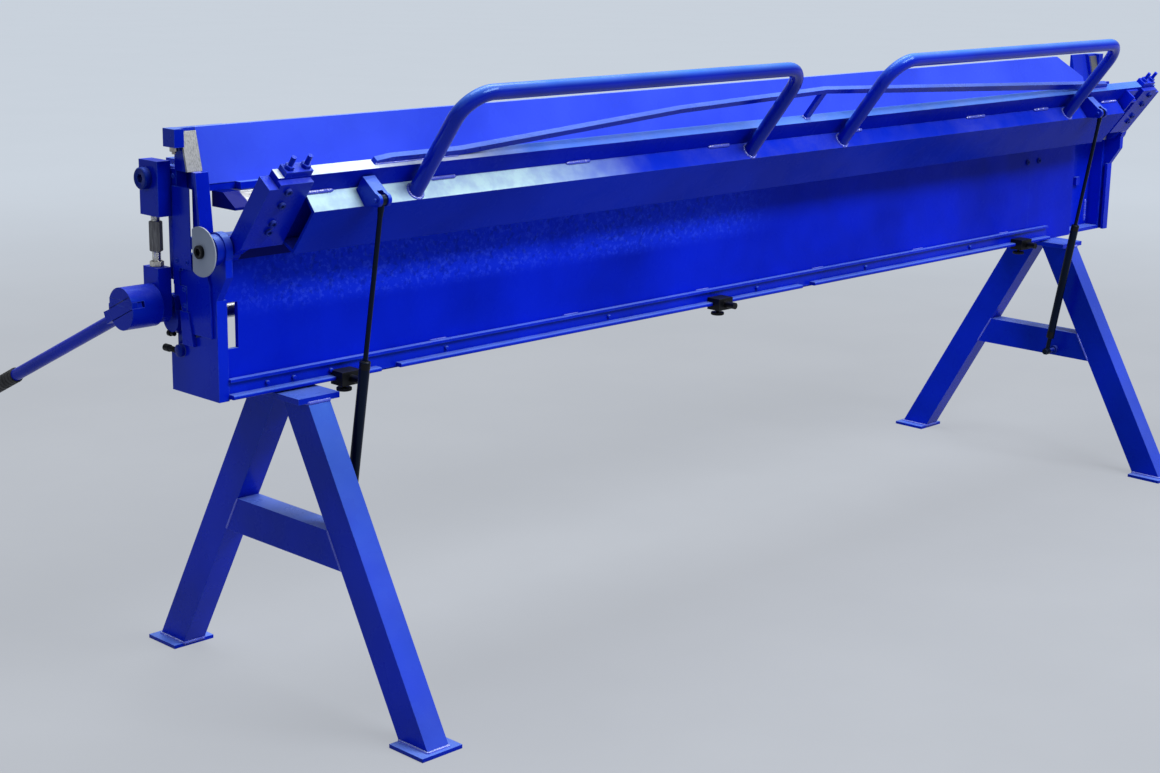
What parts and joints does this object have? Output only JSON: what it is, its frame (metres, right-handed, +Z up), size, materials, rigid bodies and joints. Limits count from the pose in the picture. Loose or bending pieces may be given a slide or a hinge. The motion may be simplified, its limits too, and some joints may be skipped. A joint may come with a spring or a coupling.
{
  "type": "sheet metal brake",
  "caption": "Long manual folding brake on two trestle stands: hinged bending beam with handles and gas struts, clamping beam closed by a crank lever.",
  "frame": {"origin": "on the floor under the middle of the whole machine", "axes": "+X along the bend line, +Y towards the back, away from the operator, +Z up"},
  "size_m": [3.4584, 1.1816, 1.2554],
  "materials": {
    "blue_paint": "gloss",
    "black_paint": "satin",
    "grey_disc": "satin",
    "bare_steel": "satin",
    "zinc": "satin",
    "rubber": "matte"
  },
  "bodies": {
    "frame": {"stand_left_legs": "blue_paint", "stand_right_legs": "blue_paint", "stand_crossbars": "blue_paint", "stand_top_plates": "blue_paint", "stand_feet": "blue_paint", "front_panel": "blue_paint", "end_panel": "blue_paint", "recess_panel": "blue_paint", "bottom_plate": "blue_paint", "bed_blade": "bare_steel", "bed_plate": "blue_paint", "ribs": "blue_paint", "lip_rail": "blue_paint", "stop_arm": "blue_paint", "hinge_disc": "grey_disc", "frame_fasteners": "blue_paint", "end_plate_left": "blue_paint", "end_plate_right": "blue_paint", "cheek_left": "blue_paint", "cheek_right": "blue_paint", "guides_left": "blue_paint", "guides_right": "blue_paint"},
    "bending_beam": {"leaf_plate": "blue_paint", "leaf_box": "blue_paint", "hinge_ears": "blue_paint", "leaf_bolts": "blue_paint", "truss_bow": "blue_paint", "leaf_adjusters": "blue_paint", "strut_brackets": "blue_paint", "handle_left": "blue_paint", "handle_right": "blue_paint"},
    "upper_beam": {"beam_blade": "bare_steel", "beam_base": "blue_paint", "beam_plate": "blue_paint", "beam_ends": "blue_paint", "wear_plates": "bare_steel", "cap_nuts": "zinc"},
    "crank": {"crank_shaft": "bare_steel", "crank_arms": "blue_paint", "lever_hub": "blue_paint", "lever_rod": "blue_paint", "lever_grip": "rubber"},
    "link_left": {"link_low_left": "blue_paint", "link_high_left": "blue_paint", "link_bolts_left": "zinc"},
    "coupling_left": {"coupling_left": "zinc"},
    "strut_rod_left": {"strut_rod_left": "black_paint"},
    "strut_tube_left": {"strut_tube_left": "black_paint"},
    "link_right": {"link_low_right": "blue_paint", "link_high_right": "blue_paint", "link_bolts_right": "zinc"},
    "coupling_right": {"coupling_right": "zinc"},
    "strut_rod_right": {"strut_rod_right": "black_paint"},
    "strut_tube_right": {"strut_tube_right": "black_paint"},
    "rail_clamp_1": {"rail_clamp_1": "black_paint"},
    "clamp_screw_1": {"clamp_screw_1": "black_paint"},
    "rail_clamp_2": {"rail_clamp_2": "black_paint"},
    "clamp_screw_2": {"clamp_screw_2": "black_paint"},
    "rail_clamp_3": {"rail_clamp_3": "black_paint"},
    "clamp_screw_3": {"clamp_screw_3": "black_paint"}
  },
  "joints": [
    {"name": "leaf_swing", "type": "hinge", "parent": "frame", "child": "bending_beam", "pos_m": [0.02815, -0.14987, 0.945], "axis": [-1, 0, 0], "range_deg": [-52.5, 37.5]},
    {"name": "lever_turn", "type": "hinge", "parent": "frame", "child": "crank", "pos_m": [0.02815, 0.01013, 0.786], "axis": [1, 0, 0], "range_deg": [0, 180]},
    {"name": "beam_slide", "type": "slide", "parent": "frame", "child": "upper_beam", "axis": [0, 0, -1], "range_m": [0, 0.069]},
    {"name": "link_left_pivot", "type": "hinge", "parent": "crank", "child": "link_left", "pos_m": [-1.64385, 0.01013, 0.821], "axis": [1, 0, 0], "range_deg": [-180, 0]},
    {"name": "coupling_left_turn", "type": "hinge", "parent": "link_left", "child": "coupling_left", "pos_m": [-1.64385, 0.01013, 0.95], "axis": [0, 0, 1], "range_deg": [-180, 180]},
    {"name": "strut_left_pivot", "type": "hinge", "parent": "bending_beam", "child": "strut_rod_left", "pos_m": [-1.35785, -0.32828, 1.03624], "axis": [-1, 0, 0], "range_deg": [-32.98, 45.96]},
    {"name": "strut_left_slide", "type": "slide", "parent": "strut_rod_left", "child": "strut_tube_left", "axis": [0, 0.1649, -0.9863], "range_m": [-0.145, 0.104]},
    {"name": "link_right_pivot", "type": "hinge", "parent": "crank", "child": "link_right", "pos_m": [1.70015, 0.01013, 0.821], "axis": [1, 0, 0], "range_deg": [-180, 0]},
    {"name": "coupling_right_turn", "type": "hinge", "parent": "link_right", "child": "coupling_right", "pos_m": [1.70015, 0.01013, 0.95], "axis": [0, 0, 1], "range_deg": [-180, 180]},
    {"name": "strut_right_pivot", "type": "hinge", "parent": "bending_beam", "child": "strut_rod_right", "pos_m": [1.27615, -0.32828, 1.03624], "axis": [-1, 0, 0], "range_deg": [-32.98, 45.96]},
    {"name": "strut_right_slide", "type": "slide", "parent": "strut_rod_right", "child": "strut_tube_right", "axis": [0, 0.1649, -0.9863], "range_m": [-0.145, 0.104]},
    {"name": "clamp_1_slide", "type": "slide", "parent": "frame", "child": "rail_clamp_1", "axis": [1, 0, 0], "range_m": [0, 0.067]},
    {"name": "clamp_screw_1_turn", "type": "hinge", "parent": "rail_clamp_1", "child": "clamp_screw_1", "pos_m": [-1.31885, -0.15787, 0.649], "axis": [0, 0, 1], "range_deg": [-180, 180]},
    {"name": "clamp_2_slide", "type": "slide", "parent": "frame", "child": "rail_clamp_2", "axis": [1, 0, 0], "range_m": [-0.15, 0.13]},
    {"name": "clamp_screw_2_turn", "type": "hinge", "parent": "rail_clamp_2", "child": "clamp_screw_2", "pos_m": [-0.15985, -0.15787, 0.649], "axis": [0, 0, 1], "range_deg": [-180, 180]},
    {"name": "clamp_3_slide", "type": "slide", "parent": "frame", "child": "rail_clamp_3", "axis": [1, 0, 0], "range_m": [-0.15, 0.045]},
    {"name": "clamp_screw_3_turn", "type": "hinge", "parent": "rail_clamp_3", "child": "clamp_screw_3", "pos_m": [1.16815, -0.15787, 0.649], "axis": [0, 0, 1], "range_deg": [-180, 180]}
  ],
  "couplings": [
    {"joint": "beam_slide", "follows": "lever_turn", "m_per_rad": 0.021963},
    {"joint": "link_left_pivot", "follows": "lever_turn", "ratio": -1},
    {"joint": "strut_left_pivot", "follows": "leaf_swing", "ratio": -0.866},
    {"joint": "strut_left_slide", "follows": "leaf_swing", "m_per_rad": 0.1563},
    {"joint": "link_right_pivot", "follows": "lever_turn", "ratio": -1},
    {"joint": "strut_right_pivot", "follows": "leaf_swing", "ratio": -0.866},
    {"joint": "strut_right_slide", "follows": "leaf_swing", "m_per_rad": 0.1563}
  ]
}
